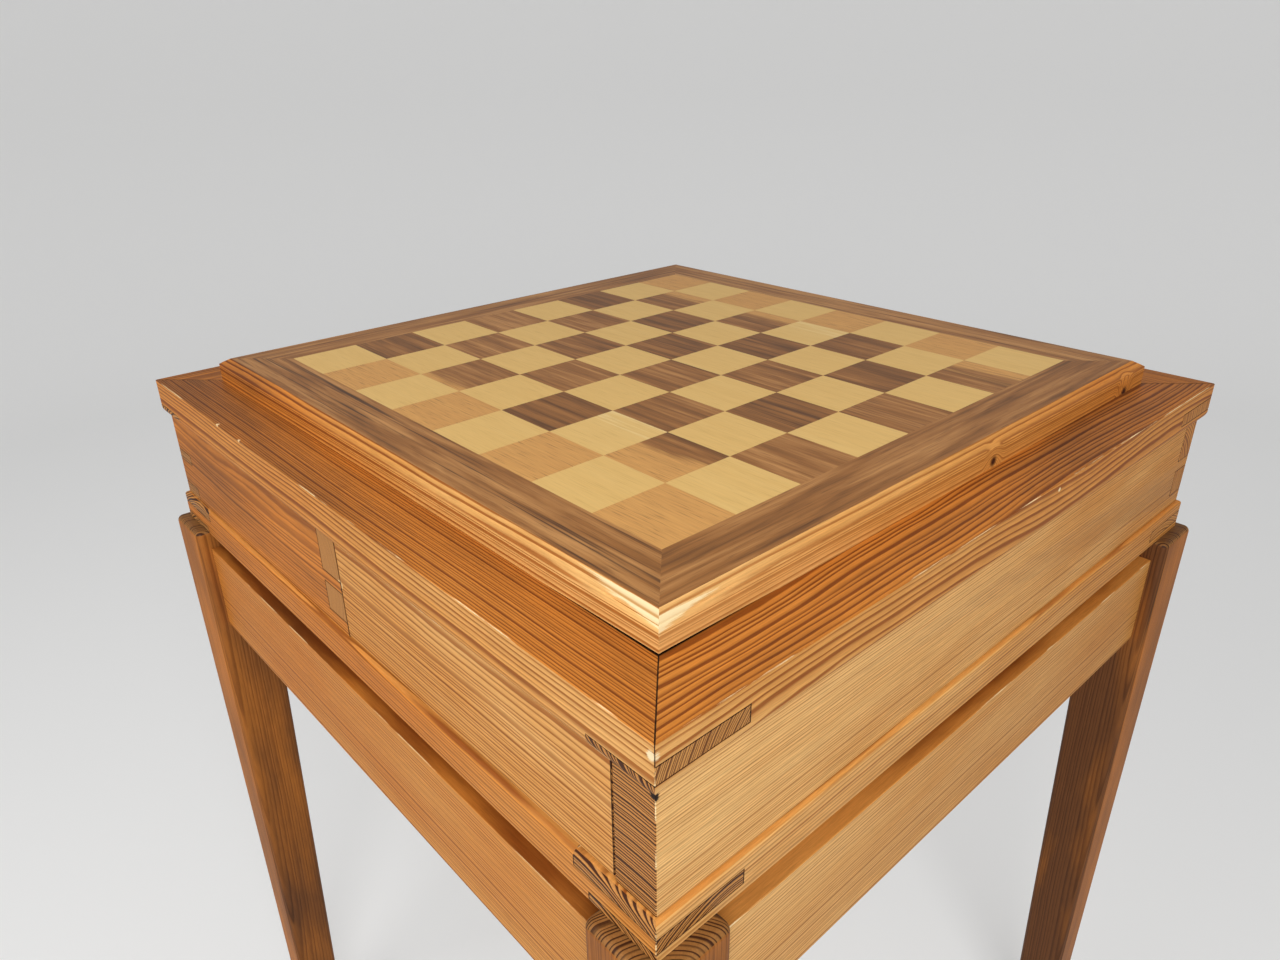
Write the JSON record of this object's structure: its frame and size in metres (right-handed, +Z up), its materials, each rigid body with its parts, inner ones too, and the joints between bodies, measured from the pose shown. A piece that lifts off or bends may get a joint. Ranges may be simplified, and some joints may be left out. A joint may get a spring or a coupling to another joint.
{
  "type": "chess table",
  "caption": "Square wooden chess table: inlaid loose board on a shallow case with a drawer for each player, on a stand of tapered legs and aprons.",
  "frame": {"origin": "on the floor, under the middle of the table", "axes": "+Z up; the front drawer opens towards -Y; +X is the right-hand side of the player who sits at that drawer"},
  "size_m": [0.572, 0.572, 0.74],
  "materials": {
    "maple": "satin varnish",
    "walnut": "satin varnish",
    "edging_pine": "oiled, worn arrises",
    "frame_pine": "oiled",
    "pine": "oiled",
    "plywood": "bare",
    "beech": "bare",
    "screw_steel": "zinc plated"
  },
  "bodies": {
    "table": {"apron_front": "pine", "apron_left": "pine", "apron_rear": "pine", "apron_right": "pine", "bottom_frame_front": "pine", "bottom_frame_left": "pine", "bottom_frame_rear": "pine", "bottom_frame_right": "pine", "case_screws": "screw_steel", "centre_rail": "pine", "dust_panel": "plywood", "front_drawer_stops": "pine", "front_panel": "pine", "left_floor": "plywood", "left_web": "pine", "leg_dowels": "beech", "leg_front_left": "pine", "leg_front_right": "pine", "leg_rear_left": "pine", "leg_rear_right": "pine", "partition": "pine", "rear_drawer_stops": "pine", "rear_panel": "pine", "right_floor": "plywood", "right_web": "pine", "top_frame_front": "frame_pine", "top_frame_left": "frame_pine", "top_frame_rear": "frame_pine", "top_frame_right": "frame_pine"},
    "board": {"board_cleats": "pine", "board_core": "plywood", "border_front": "walnut", "border_left": "walnut", "border_rear": "walnut", "border_right": "walnut", "dark_squares": "walnut", "edging_front": "edging_pine", "edging_left": "edging_pine", "edging_rear": "edging_pine", "edging_right": "edging_pine", "light_squares": "maple"},
    "front_drawer": {"front_drawer_back": "pine", "front_drawer_bottom": "plywood", "front_drawer_face": "pine", "front_drawer_left_side": "pine", "front_drawer_right_side": "pine"},
    "rear_drawer": {"rear_drawer_back": "pine", "rear_drawer_bottom": "plywood", "rear_drawer_face": "pine", "rear_drawer_left_side": "pine", "rear_drawer_right_side": "pine"}
  },
  "joints": [
    {"name": "front_drawer_slide", "type": "slide", "parent": "table", "child": "front_drawer", "axis": [0, -1, 0], "range_m": [0, 0.35]},
    {"name": "rear_drawer_slide", "type": "slide", "parent": "table", "child": "rear_drawer", "axis": [0, 1, 0], "range_m": [0, 0.35]},
    {"name": "board_lift", "type": "slide", "parent": "table", "child": "board", "axis": [0, 0, 1], "range_m": [0, 0.06]}
  ]
}
